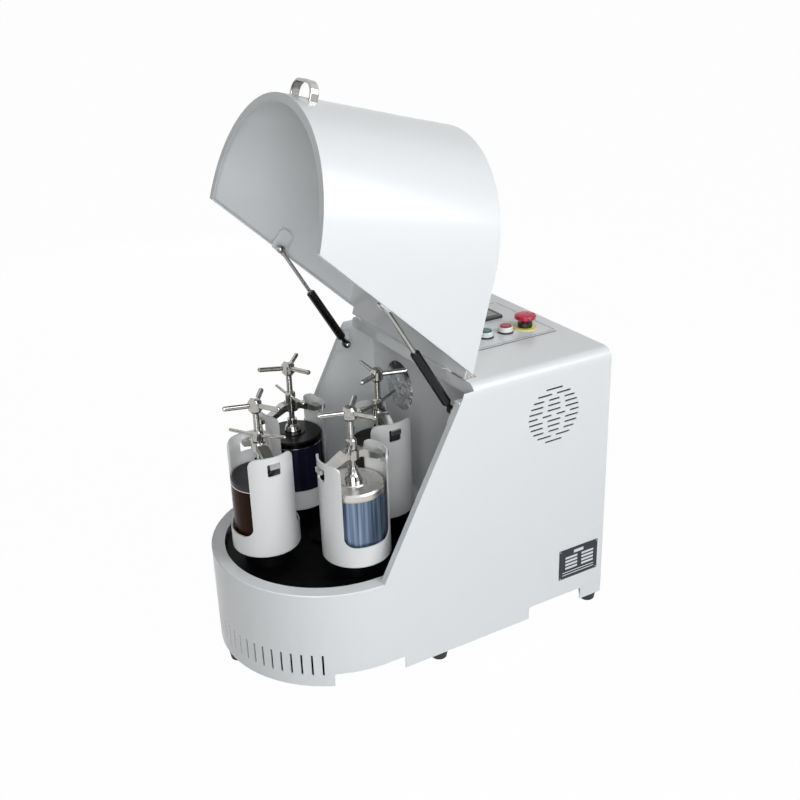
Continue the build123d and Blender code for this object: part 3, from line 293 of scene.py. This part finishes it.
paint = powder_coat("paint_white", (0.80, 0.81, 0.815))
paint_holder = powder_coat("paint_holder", (0.785, 0.78, 0.775), 0.3, 0.01)
paint_frame = powder_coat("paint_frame", (0.055, 0.058, 0.062), 0.42, 0.1)
paint_motor = powder_coat("paint_motor", (0.06, 0.09, 0.13), 0.38, 0.08)
chrome = polished("plated_steel", (0.45, 0.445, 0.43), 0.09)
zinc = turned_metal("zinc_plate", (0.6, 0.61, 0.62), 0.3)
machined = turned_metal("machined_steel", (0.5, 0.5, 0.51), 0.32)
bearing = turned_metal("bearing_steel", (0.6, 0.6, 0.61), 0.2)
cast = turned_metal("cast_aluminium", (0.58, 0.59, 0.6), 0.45, 0.1, 60.0)
black_plastic = moulded("black_plastic", (0.02, 0.02, 0.022), 0.42)
strut_black = moulded("strut_black", (0.004, 0.004, 0.0045), 0.2, 500.0, 0.02, 0.3)
drive_plastic = moulded("drive_plastic", (0.05, 0.052, 0.056), 0.5)
foot_rubber = rubber("foot_rubber", (0.012, 0.011, 0.011))
belt_rubber = rubber("belt_rubber", (0.018, 0.017, 0.017))
red_plastic = moulded("red_plastic", (0.46, 0.002, 0.03), 0.2, 500.0, 0.02)
red_cap = moulded("red_cap", (0.26, 0.006, 0.016), 0.3, 500.0, 0.02)
green_cap = moulded("green_cap", (0.003, 0.11, 0.06), 0.3, 500.0, 0.02)
panel_film = edged_film("panel_film", 0.57775, 0.5778)
bezel = banded(
    "bezel_ring", 0.582, ((0.015, 0.017, 0.022), 0.4, 0.0), ((0.86, 0.86, 0.86), 0.3, 0.2)
)
stop_base = banded(
    "stop_collar", 0.5801, ((0.78, 0.76, 0.14), 0.35, 0.0), ((0.02, 0.018, 0.02), 0.25, 0.0)
)
spindle = threaded_steel("spindle_steel", 0.003, (0.484, 0.4845), (0.5195, 0.52))
disc_coat = disc_black("disc_black", 5200.0)
# each jar's wall carries painted reflection streaks between its two tones
jar_materials = {
    1: jar_body("jar_brown", (0.014, 0.005, 0.002), (0.07, 0.022, 0.006), 0.3, 0.0, 26.0),
    2: jar_body(
        "jar_steel", (0.04, 0.065, 0.115), (0.26, 0.35, 0.47), 0.24, 0.7, 130.0, (0.34, 0.64)
    ),
    3: jar_body("jar_grey", (0.05, 0.04, 0.036), (0.16, 0.13, 0.12), 0.3, 0.35, 30.0),
    4: jar_body("jar_navy", (0.006, 0.006, 0.014), (0.03, 0.03, 0.075), 0.18, 0.4, 24.0),
}
jar_lid_materials = {
    1: turned_metal("lid_graphite", (0.05, 0.05, 0.052), 0.42, 0.25, 300.0),
    2: turned_metal("lid_steel", (0.64, 0.635, 0.62), 0.27, 0.1, 500.0),
    3: turned_metal("lid_graphite_rear", (0.045, 0.045, 0.046), 0.45, 0.25, 300.0),
    4: turned_metal("lid_black", (0.014, 0.014, 0.016), 0.3, 0.3, 300.0),
}
node_materials = {
    "housing": paint,
    "bulkhead": paint,
    "rear_cover": paint,
    "lid": paint,
    "base_frame": paint_frame,
    "feet": foot_rubber,
    "main_bearings": bearing,
    "planet_bearings": disc_coat,
    "ring_gear": machined,
    "motor": paint_motor,
    "drive_belt": belt_rubber,
    "speed_drive": drive_plastic,
    "control_panel": panel_film,
    "display": black_plastic,
    "button_bezels": bezel,
    "estop_base": stop_base,
    "power_inlet": black_plastic,
    "fixed_hinges": chrome,
    "lid_hinges": chrome,
    "strut_studs": chrome,
    "lid_handle": chrome,
    "strut_cylinder_left": strut_black,
    "strut_cylinder_right": strut_black,
    "strut_rod_left": chrome,
    "strut_rod_right": chrome,
    "green_button": green_cap,
    "red_button": red_cap,
    "estop_head": red_plastic,
    "sun_disc": disc_coat,
    "main_shaft": machined,
    "main_pulley": cast,
    "motor_pulley": cast,
}
for number in range(1, 5):
    node_materials[f"planet_gear_{number}"] = machined
    node_materials[f"jar_holder_{number}"] = paint_holder
    node_materials[f"jar_{number}"] = jar_materials[number]
    node_materials[f"jar_lid_{number}"] = jar_lid_materials[number]
    node_materials[f"clamp_yoke_{number}"] = chrome
    node_materials[f"clamp_screw_{number}"] = spindle
    node_materials[f"press_foot_{number}"] = chrome
for name, material in node_materials.items():
    node = nodes[name]
    node.data.materials.clear()
    node.data.materials.append(material)


# ------------------------------------------------------------------ mesh helpers
def placed(name, bm, material):
    """Turns a bmesh into an object of the scene."""
    mesh = bpy.data.meshes.new(name)
    bmesh.ops.recalc_face_normals(bm, faces=bm.faces)
    bm.to_mesh(mesh)
    bm.free()
    mesh.materials.append(material)
    thing = bpy.data.objects.new(name, mesh)
    scene.collection.objects.link(thing)
    return thing


def piece(name, bm, material, body):
    """A smooth-shaded piece of the machine that rides on a body."""
    thing = placed(name, bm, material)
    for face in thing.data.polygons:
        face.use_smooth = True
    thing.data.set_sharp_from_angle(angle=SHARP_ANGLE)
    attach(thing, body)


def join_rows(bm, rows):
    """Joins each row of vertices to the next with faces, all the way round."""
    for near, far in zip(rows, rows[1:]):
        for i in range(len(near)):
            j = (i + 1) % len(near)
            bm.faces.new((near[i], near[j], far[j], far[i]))


def closed_bar(bm, rows):
    """A bar whose cross-sections are the rows, with both its ends closed."""
    join_rows(bm, rows)
    bm.faces.new(rows[0])
    bm.faces.new(list(reversed(rows[-1])))


def lathe(bm, profile, segments, matrix):
    """Turns a profile of (radius, height) points about z, and closes it where it meets the axis."""
    turns = [2 * math.pi * i / segments for i in range(segments)]
    rings = []
    for radius, height in profile:
        if radius < 1e-7:
            rings.append([bm.verts.new(matrix @ Vector((0, 0, height)))])
            continue
        points = [Vector((radius * math.cos(t), radius * math.sin(t), height)) for t in turns]
        rings.append([bm.verts.new(matrix @ point) for point in points])
    for first, second in zip(rings, rings[1:]):
        for i in range(segments):
            j = (i + 1) % segments
            if len(first) == 1:
                bm.faces.new((first[0], second[i], second[j]))
            elif len(second) == 1:
                bm.faces.new((first[i], first[j], second[0]))
            else:
                bm.faces.new((first[i], first[j], second[j], second[i]))


def ring(bm, profile, segments, matrix):
    """Turns a closed profile of (radius, height) points about z."""
    lathe(bm, [*profile, profile[0]], segments, matrix)
    bmesh.ops.remove_doubles(bm, verts=bm.verts, dist=1e-7)


def slab(bm, corners, matrix, thickness, bevel=0.0):
    """A flat plate from its outline in the matrix's xy plane, raised along its z."""
    low = [bm.verts.new(matrix @ Vector((x, y, 0))) for x, y in corners]
    high = [bm.verts.new(matrix @ Vector((x, y, thickness))) for x, y in corners]
    bm.faces.new(list(reversed(low)))
    top = bm.faces.new(high)
    join_rows(bm, (low, high))
    if bevel:
        bmesh.ops.bevel(bm, geom=list(top.edges), offset=bevel, segments=2, affect="EDGES")


def rounded(half_x, half_y, radius, steps=6):
    """Corner points of a rounded rectangle about its own centre."""
    points = []
    for cx, cy, start in (
        (half_x - radius, half_y - radius, 0),
        (-half_x + radius, half_y - radius, 90),
        (-half_x + radius, -half_y + radius, 180),
        (half_x - radius, -half_y + radius, 270),
    ):
        for i in range(steps + 1):
            turn = math.radians(start + 90 * i / steps)
            points.append((cx + radius * math.cos(turn), cy + radius * math.sin(turn)))
    return points


def axes_matrix(x, y, z, origin):
    """A matrix from its three axes and its origin."""
    return Matrix(
        (
            (x.x, y.x, z.x, origin[0]),
            (x.y, y.y, z.y, origin[1]),
            (x.z, y.z, z.z, origin[2]),
            (0, 0, 0, 1),
        )
    )


def facing(origin, x_axis, z_axis):
    """A matrix whose z looks along z_axis, with its origin at a point."""
    z = Vector(z_axis).normalized()
    x = Vector(x_axis)
    x = (x - z * x.dot(z)).normalized()
    return axes_matrix(x, z.cross(x), z, origin)


def screw_head(bm, matrix, radius, height):
    """A low domed screw head with a round recess."""
    profile = [
        (radius, 0),
        (radius, height * 0.45),
        (radius * 0.8, height * 0.85),
        (radius * 0.45, height),
        (radius * 0.42, height * 0.7),
        (0, height * 0.7),
    ]
    lathe(bm, profile, 20, matrix)


# ------------------------------------------------------------------ camera
azimuth, elevation, roll = math.radians(60.10), math.radians(24.07), math.radians(-1.92)
back = Vector(
    (
        math.sin(azimuth) * math.cos(elevation),
        -math.cos(azimuth) * math.cos(elevation),
        math.sin(elevation),
    )
)
right = (-back).cross(Vector((0, 0, 1))).normalized()
above = right.cross(-back)
camera_data = bpy.data.cameras.new("camera")
camera_data.sensor_width = 36
camera_data.lens = 50.10
camera_data.clip_start = 0.05
camera_data.clip_end = 200
camera = bpy.data.objects.new("camera", camera_data)
scene.collection.objects.link(camera)
camera.matrix_world = axes_matrix(
    right * math.cos(roll) + above * math.sin(roll),
    -right * math.sin(roll) + above * math.cos(roll),
    back,
    (1.7704, -0.9839, 1.3788),
)
scene.camera = camera


# ------------------------------------------------------------------ floor and surroundings
def directly_seen(tree):
    """1 for a camera, glossy or transmission ray, and 0 for any other."""
    rays = tree.nodes.new("ShaderNodeLightPath").outputs
    seen = rays["Is Camera Ray"]
    for kind in ("Is Glossy Ray", "Is Transmission Ray"):
        either = tree.nodes.new("ShaderNodeMath")
        either.operation = "MAXIMUM"
        tree.links.new(seen, either.inputs[0])
        tree.links.new(rays[kind], either.inputs[1])
        seen = either.outputs["Value"]
    return seen


def mixed_shader(tree, factor, first, second, output):
    """Shows the second shader where factor is 1, and the first where it is 0."""
    mixed = tree.nodes.new("ShaderNodeMixShader")
    tree.links.new(factor, mixed.inputs["Fac"])
    tree.links.new(first, mixed.inputs[1])
    tree.links.new(second, mixed.inputs[2])
    tree.links.new(mixed.outputs["Shader"], output.inputs["Surface"])


def seen_white(name, base, share):
    """A stage surface that shows white to the camera and in reflections, and keeps its shadow."""
    n = Nodes(name)
    n.colour(n.ramp(n.noise(3.0, 2.0), scaled(base, 0.99), base))
    n.rough(0.9)
    n.specular(0.1)
    factor = n.math("MULTIPLY", directly_seen(n.tree), share)
    glow = n.tree.nodes.new("ShaderNodeEmission")
    glow.inputs["Color"].default_value = (1, 1, 1, 1)
    mixed_shader(n.tree, factor, n.shader.outputs["BSDF"], glow.outputs["Emission"], n.output)
    return n.material


def background(tree, tint, strength):
    node = tree.nodes.new("ShaderNodeBackground")
    node.inputs["Color"].default_value = (*tint, 1)
    node.inputs["Strength"].default_value = strength
    return node.outputs["Background"]


FLOOR_HALF, FLOOR_CORNER = 60.0, 2.0
FLOOR_TOP = -0.0001  # just under the feet
FLOOR_THICK = 0.0199
bm = bmesh.new()
slab(
    bm,
    rounded(FLOOR_HALF, FLOOR_HALF, FLOOR_CORNER),
    Matrix.Translation((0, 0, FLOOR_TOP - FLOOR_THICK)),
    FLOOR_THICK,
)
floor = placed("floor", bm, seen_white("floor_white", (0.6, 0.6, 0.6), 0.985))

world = bpy.data.worlds.new("world")
scene.world = world
world.use_nodes = True
world.node_tree.nodes.clear()
mixed_shader(
    world.node_tree,
    directly_seen(world.node_tree),
    background(world.node_tree, (1.0, 0.995, 0.99), 0.02),
    background(world.node_tree, (1, 1, 1), 1.0),
    world.node_tree.nodes.new("ShaderNodeOutputWorld"),
)


# ------------------------------------------------------------------ lamps and cards
LAMP_AIM = (0, 0, 0.45)
LAMP_SIZE = (1.8, 1.8)
COOL = (0.96, 0.985, 1.0)


def soft_light(name, place, power, aim=LAMP_AIM, size=LAMP_SIZE, tint=(1, 1, 1)):
    data = bpy.data.lights.new(name, "AREA")
    data.shape = "RECTANGLE"
    data.size, data.size_y = size
    data.energy = power
    data.color = tint
    lamp = bpy.data.objects.new(name, data)
    scene.collection.objects.link(lamp)
    lamp.location = place
    lamp.rotation_mode = "QUATERNION"
    lamp.rotation_quaternion = (Vector(aim) - Vector(place)).to_track_quat("-Z", "Y")


soft_light("key", (2.604, -1.504, 1.544), 56, tint=COOL)
soft_light("side", (2.123, 1.226, 2.507), 52, tint=COOL)
soft_light("rear", (0.0, 1.6, 3.22), 3)
soft_light("far_side", (-2.9, 1.05, 0.4), 10, aim=(0, 0, 0.4), size=(1.6, 0.6))


def dark_card(name, origin, size, aim, tone):
    """A dark card that only reflections see, as a studio hangs for bright metal."""
    bm = bmesh.new()
    matrix = facing(origin, (0, 0, 1), Vector(aim) - Vector(origin))
    slab(bm, rounded(size[0] / 2, size[1] / 2, 0.05), matrix, 0.01)
    n = Nodes(name)
    n.colour(n.ramp(n.noise(2.0), (tone,) * 3, (tone * 1.2,) * 3))
    n.rough(0.9)
    card = placed(name, bm, n.material)
    card.visible_camera = False
    card.visible_diffuse = False
    card.visible_shadow = False
    card.visible_transmission = False


CARD_DISTANCE, CARD_MIDDLE, CARD_HEIGHT = 3.7, 0.85, 1.3
CARD_AIM = (0, 0, 0.6)
CARDS = (  # degrees round the machine, width, tone
    (18, 2.0, 0.03),
    (92, 1.6, 0.05),
    (150, 1.8, 0.04),
    (205, 2.2, 0.03),
    (262, 2.4, 0.02),
    (322, 2.4, 0.02),
)
for index, (degrees, width, tone) in enumerate(CARDS):
    turn = math.radians(degrees)
    card_at = (CARD_DISTANCE * math.sin(turn), -CARD_DISTANCE * math.cos(turn), CARD_MIDDLE)
    dark_card(f"card_{index}", card_at, (CARD_HEIGHT, width), CARD_AIM, tone)

# ------------------------------------------------------------------ bright rims on the jars
rim_pale = turned_metal("rim_pale", (0.62, 0.62, 0.64), 0.22, 0.1, 600.0)
rim_gold = turned_metal("rim_gold", (0.72, 0.52, 0.3), 0.2, 0.2, 600.0)
RIM = [(0.0583, 0.3795), (0.0591, 0.3797), (0.0592, 0.3805), (0.0591, 0.3812), (0.0583, 0.3815)]
for number, degrees in enumerate(STATION_TURNS, start=1):
    turn = math.radians(degrees)
    outward = Vector((math.cos(turn), math.sin(turn), 0))
    centre = Vector((0, DISC_Y, 0)) + outward * STATION_RADIUS
    rim_metal = rim_gold if number == 2 else rim_pale
    bm = bmesh.new()
    ring(bm, RIM, 96, Matrix.Translation(centre))
    piece(f"jar_rim_{number}", bm, rim_metal, f"planet_{number}")

# ------------------------------------------------------------------ rating plate without words
plate_dark = Nodes("plate_dark")
plate_tone = plate_dark.noise(120.0, 3.0)
plate_dark.colour(plate_dark.ramp(plate_tone, (0.022, 0.026, 0.036), (0.04, 0.045, 0.058)))
plate_dark.rough(0.35)
plate_dark.metal(0.5)
plate_dark.bump(plate_dark.noise(700.0), 0.05, 0.0002)
plate_light = turned_metal("plate_light", (0.7, 0.71, 0.73), 0.3, 0.08, 400.0)
PLATE_THICK = 0.0006
FIELD_THICK = 0.00015
plate_at = facing((SIDE_X, 0.314, 0.118), (0, 1, 0), (1, 0, 0))
bm = bmesh.new()
slab(bm, rounded(0.050, 0.035, 0.0015, 3), plate_at, PLATE_THICK, 0.0002)
piece("rating_plate", bm, plate_dark.material, "cabinet")

fields = [(0.0, 0.0245, 0.0125, 0.0035)]  # across, up, half width, half height
for column in (-0.0185, 0.0235):
    for row in range(4):
        fields.append((column, 0.0135 - row * 0.0082, 0.0155, 0.0024))
for row in range(2):
    fields.append((0.0, -0.0205 - row * 0.0058, 0.041, 0.0009))
bm = bmesh.new()
for across, up, half_wide, half_high in fields:
    spot = plate_at @ Matrix.Translation((across, up, PLATE_THICK))
    slab(bm, rounded(half_wide, half_high, 0.0004, 2), spot, FIELD_THICK)
RIVET = [(0.0013, 0.0), (0.0013, 0.0002), (0.0008, 0.0004), (0, 0.0005)]
for up in (0.0318, -0.0318):
    for across in (-0.0468, 0.0468):
        lathe(bm, RIVET, 14, plate_at @ Matrix.Translation((across, up, PLATE_THICK)))
piece("rating_plate_fields", bm, plate_light, "cabinet")

# ------------------------------------------------------------------ panel: line, screws, window
line_dark = moulded("line_dark", (0.05, 0.052, 0.055), 0.5)
LINE_HEIGHT = 0.00012
outer = rounded(0.1038, 0.0938, 0.006)
inner = rounded(0.1027, 0.0927, 0.005)
bm = bmesh.new()
rows = []
for outline, lift in ((outer, 0.0), (outer, LINE_HEIGHT), (inner, LINE_HEIGHT), (inner, 0.0)):
    rows.append([bm.verts.new((PANEL_X + x, PANEL_Y + y, PANEL_TOP + lift)) for x, y in outline])
join_rows(bm, rows)
piece("panel_line", bm, line_dark, "cabinet")

bm = bmesh.new()
for x in (-1, 1):
    for y in (-1, 1):
        spot = (PANEL_X + x * 0.098, PANEL_Y + y * 0.088, PANEL_TOP)
        screw_head(bm, facing(spot, (1, 0.3, 0), (0, 0, 1)), 0.0032, 0.0014)
piece("panel_screws", bm, zinc, "cabinet")

window = Nodes("window_glass")
window.colour(window.ramp(window.noise(20.0), (0.006, 0.007, 0.01), (0.012, 0.013, 0.018)))
window.rough(0.06)
window.shader.inputs["Coat Weight"].default_value = 0.6
window_at = facing((-0.070, 0.264, 0.584), (1, 0, 0), (0, 0, 1))
bm = bmesh.new()
slab(bm, rounded(0.037, 0.032, 0.002, 4), window_at, 0.0006, 0.0002)
piece("display_window", bm, window.material, "cabinet")

# ------------------------------------------------------------------ crumpled foil disc, its upper part in painted shadow
foil = Nodes("foil")
crumpled = foil.ramp(foil.noise(60.0, 5.0), (0.5, 0.5, 0.51), (0.85, 0.86, 0.87))
painted_shadow_height = foil.math("ADD", foil.axes()[2], foil.math("MULTIPLY", foil.noise(40.0, 4.0), 0.03))
# painted shadow: above a wavy line the foil's colour turns near black
foil.colour(foil.mix(foil.span(painted_shadow_height, 0.472, 0.486), crumpled, (0.05, 0.05, 0.052)))
foil.rough(foil.span(foil.noise(90.0), 0.3, 0.7, 0.16, 0.34))
foil.bump(foil.voronoi(75.0), 0.7, 0.004)
foil.metal()
FOIL_RADIUS, FOIL_RINGS, FOIL_SEGMENTS = 0.054, 14, 72
FOIL_MIDDLE, FOIL_LIFT, FOIL_EDGE = 0.0016, 0.0012, 0.0001  # heights off the bulkhead
foil_at = facing((-0.123, 0.105, 0.438), (1, 0, 0), (0, -1, 0))
bm = bmesh.new()
middle = bm.verts.new(foil_at @ Vector((0, 0, FOIL_MIDDLE)))
rows = []
for r in range(1, FOIL_RINGS + 1):
    radius = FOIL_RADIUS * r / FOIL_RINGS
    row = []
    for s in range(FOIL_SEGMENTS):
        turn = 2 * math.pi * s / FOIL_SEGMENTS
        wobble = 0.0007 * math.sin(turn * 7 + r * 1.7) * math.sin(r * 2.3 + turn * 3)
        crease = 0.0005 * math.sin(turn * 13 - r * 2.9)
        lift = FOIL_LIFT + (wobble + crease) * (0.4 + 0.6 * r / FOIL_RINGS)
        if r == FOIL_RINGS:
            lift = FOIL_EDGE
        point = Vector((radius * math.cos(turn), radius * math.sin(turn), lift))
        row.append(bm.verts.new(foil_at @ point))
    rows.append(row)
for s in range(FOIL_SEGMENTS):
    t = (s + 1) % FOIL_SEGMENTS
    bm.faces.new((middle, rows[0][s], rows[0][t]))
    for near, far in zip(rows, rows[1:]):
        bm.faces.new((near[s], far[s], far[t], near[t]))
piece("foil_disc", bm, foil.material, "cabinet")

# ------------------------------------------------------------------ dark sheets behind the vents: painted shade in the slots
# painted shade: a near-black sheet behind the side vent stands for the shade inside the housing
vent_shade_sheet = moulded("vent_shade_sheet", (0.006, 0.006, 0.007), 0.9, 900.0, 0.3, 0.05)
VENT_SHADE = [(0, 0), (0.0655, 0), (0.0655, 0.0012), (0, 0.0012)]
bm = bmesh.new()
lathe(bm, VENT_SHADE, 72, facing((0.2311, 0.240, 0.470), (0, 1, 0), (1, 0, 0)))
piece("side_vent_shade", bm, vent_shade_sheet, "cabinet")

# painted shade: a near-black band behind the slots in the drum's round front
DRUM_SHADE = ((0.2308, 0.040), (0.2322, 0.040), (0.2322, 0.092), (0.2308, 0.092))
SHADE_START, SHADE_SWEEP = -152, 124  # degrees
SHADE_STEPS = 48
drum_centre = Vector((0, DRUM_Y, 0))
bm = bmesh.new()
rows = []
for i in range(SHADE_STEPS + 1):
    turn = math.radians(SHADE_START + SHADE_SWEEP * i / SHADE_STEPS)
    outward = Vector((math.cos(turn), math.sin(turn), 0))
    points = [drum_centre + outward * radius + Vector((0, 0, z)) for radius, z in DRUM_SHADE]
    rows.append([bm.verts.new(point) for point in points])
closed_bar(bm, rows)
piece("drum_slot_shade", bm, vent_shade_sheet, "cabinet")

# ------------------------------------------------------------------ small fasteners
COVER_SCREW = (0.0038, 0.0016)  # radius, height
bm = bmesh.new()
for x in (-0.224, 0.224):
    for z in (0.066, 0.186, 0.306, 0.426, 0.540):
        screw_head(bm, facing((x, REAR_Y, z), (1, 0.4, 0), (0, 1, 0)), *COVER_SCREW)
for x in (-0.075, 0.075):
    screw_head(bm, facing((x, REAR_Y, 0.560), (1, 0.2, 0), (0, 1, 0)), *COVER_SCREW)
piece("cover_screws", bm, zinc, "cabinet")

HINGE_SCREW = (0.0028, 0.0010)


def hinge_screws(rows):
    """Where the screws of both hinges are, as (x, y) with the lid closed."""
    for side in (-1, 1):
        for x in (-0.012, 0.012):
            for y in rows:
                yield side * HINGE_X + x, y


bm = bmesh.new()
for x, y in hinge_screws((0.067, 0.075)):
    screw_head(bm, facing((x, y, HINGE_SEAT), (1, 0.5, 0), (0, 0, 1)), *HINGE_SCREW)
piece("fixed_hinge_screws", bm, zinc, "cabinet")

lid_up = Vector((0, math.sin(LID_OPEN), math.cos(LID_OPEN)))
lid_back = Vector((0, math.cos(LID_OPEN), -math.sin(LID_OPEN)))
hinge_line = Vector((0, HINGE_Y, HINGE_Z))


def on_lid(x, y, z):
    """Where a point of the closed lid is while the lid stands open, in metres."""
    return Vector((x, 0, 0)) + hinge_line + lid_back * (y - HINGE_Y) + lid_up * (z - HINGE_Z)


bm = bmesh.new()
for x, y in hinge_screws((0.034, 0.042)):
    screw_head(bm, facing(on_lid(x, y, HINGE_SEAT), (1, 0, 0), lid_up), *HINGE_SCREW)
piece("lid_hinge_screws", bm, zinc, "hood")

# round caps over the ball studs of the gas struts
LOWER_CAP = [(0.0054, 0), (0.0054, 0.0012), (0.0042, 0.0028), (0.0018, 0.0037), (0, 0.0038)]
UPPER_CAP = [(0.0062, 0), (0.0062, 0.0010), (0.0048, 0.0028), (0.002, 0.0038), (0, 0.0039)]
bm = bmesh.new()
for side in (-1, 1):
    lathe(bm, LOWER_CAP, 32, facing((side * 0.197, 0.025, 0.524), (0, 1, 0), (-side, 0, 0)))
piece("lower_stud_caps", bm, chrome, "cabinet")
for side, name in ((-1, "left"), (1, "right")):
    bm = bmesh.new()
    lathe(bm, UPPER_CAP, 32, facing((side * 0.200, -0.111, 0.757), (0, 1, 0), (-side, 0, 0)))
    piece(f"upper_stud_cap_{name}", bm, chrome, f"rod_{name}")

# two raised turning arrows on the emergency stop's head
arrow_red = moulded("arrow_red", (0.75, 0.06, 0.07), 0.25, 500.0, 0.02)
ARROW_RADIUS = 0.0085
ARROW_SWEEP, ARROW_STEPS = 105, 14  # degrees, and in how many steps
ARROW_LOW, ARROW_HIGH = -0.0006, 0.0003
SHAFT_HALF = 0.0011
POINT_STEPS, POINT_HALF, POINT_TIP = 4, 0.0024, 0.00002  # the arrow's point
head_at = facing((0.048, 0.307, 0.6086), (1, 0, 0), (0, 0, 1))
bm = bmesh.new()
for start in (20, 200):
    rows = []
    for i in range(ARROW_STEPS + 1):
        turn = math.radians(start + ARROW_SWEEP * i / ARROW_STEPS)
        half = SHAFT_HALF
        if i >= ARROW_STEPS - POINT_STEPS:
            half = POINT_HALF * (ARROW_STEPS - i) / POINT_STEPS + POINT_TIP
        section = (
            (ARROW_RADIUS - half, ARROW_LOW),
            (ARROW_RADIUS - half, ARROW_HIGH),
            (ARROW_RADIUS + half, ARROW_HIGH),
            (ARROW_RADIUS + half, ARROW_LOW),
        )
        points = [Vector((r * math.cos(turn), r * math.sin(turn), lift)) for r, lift in section]
        rows.append([bm.verts.new(head_at @ point) for point in points])
    closed_bar(bm, rows)
piece("stop_arrows", bm, arrow_red, "stop_cap")
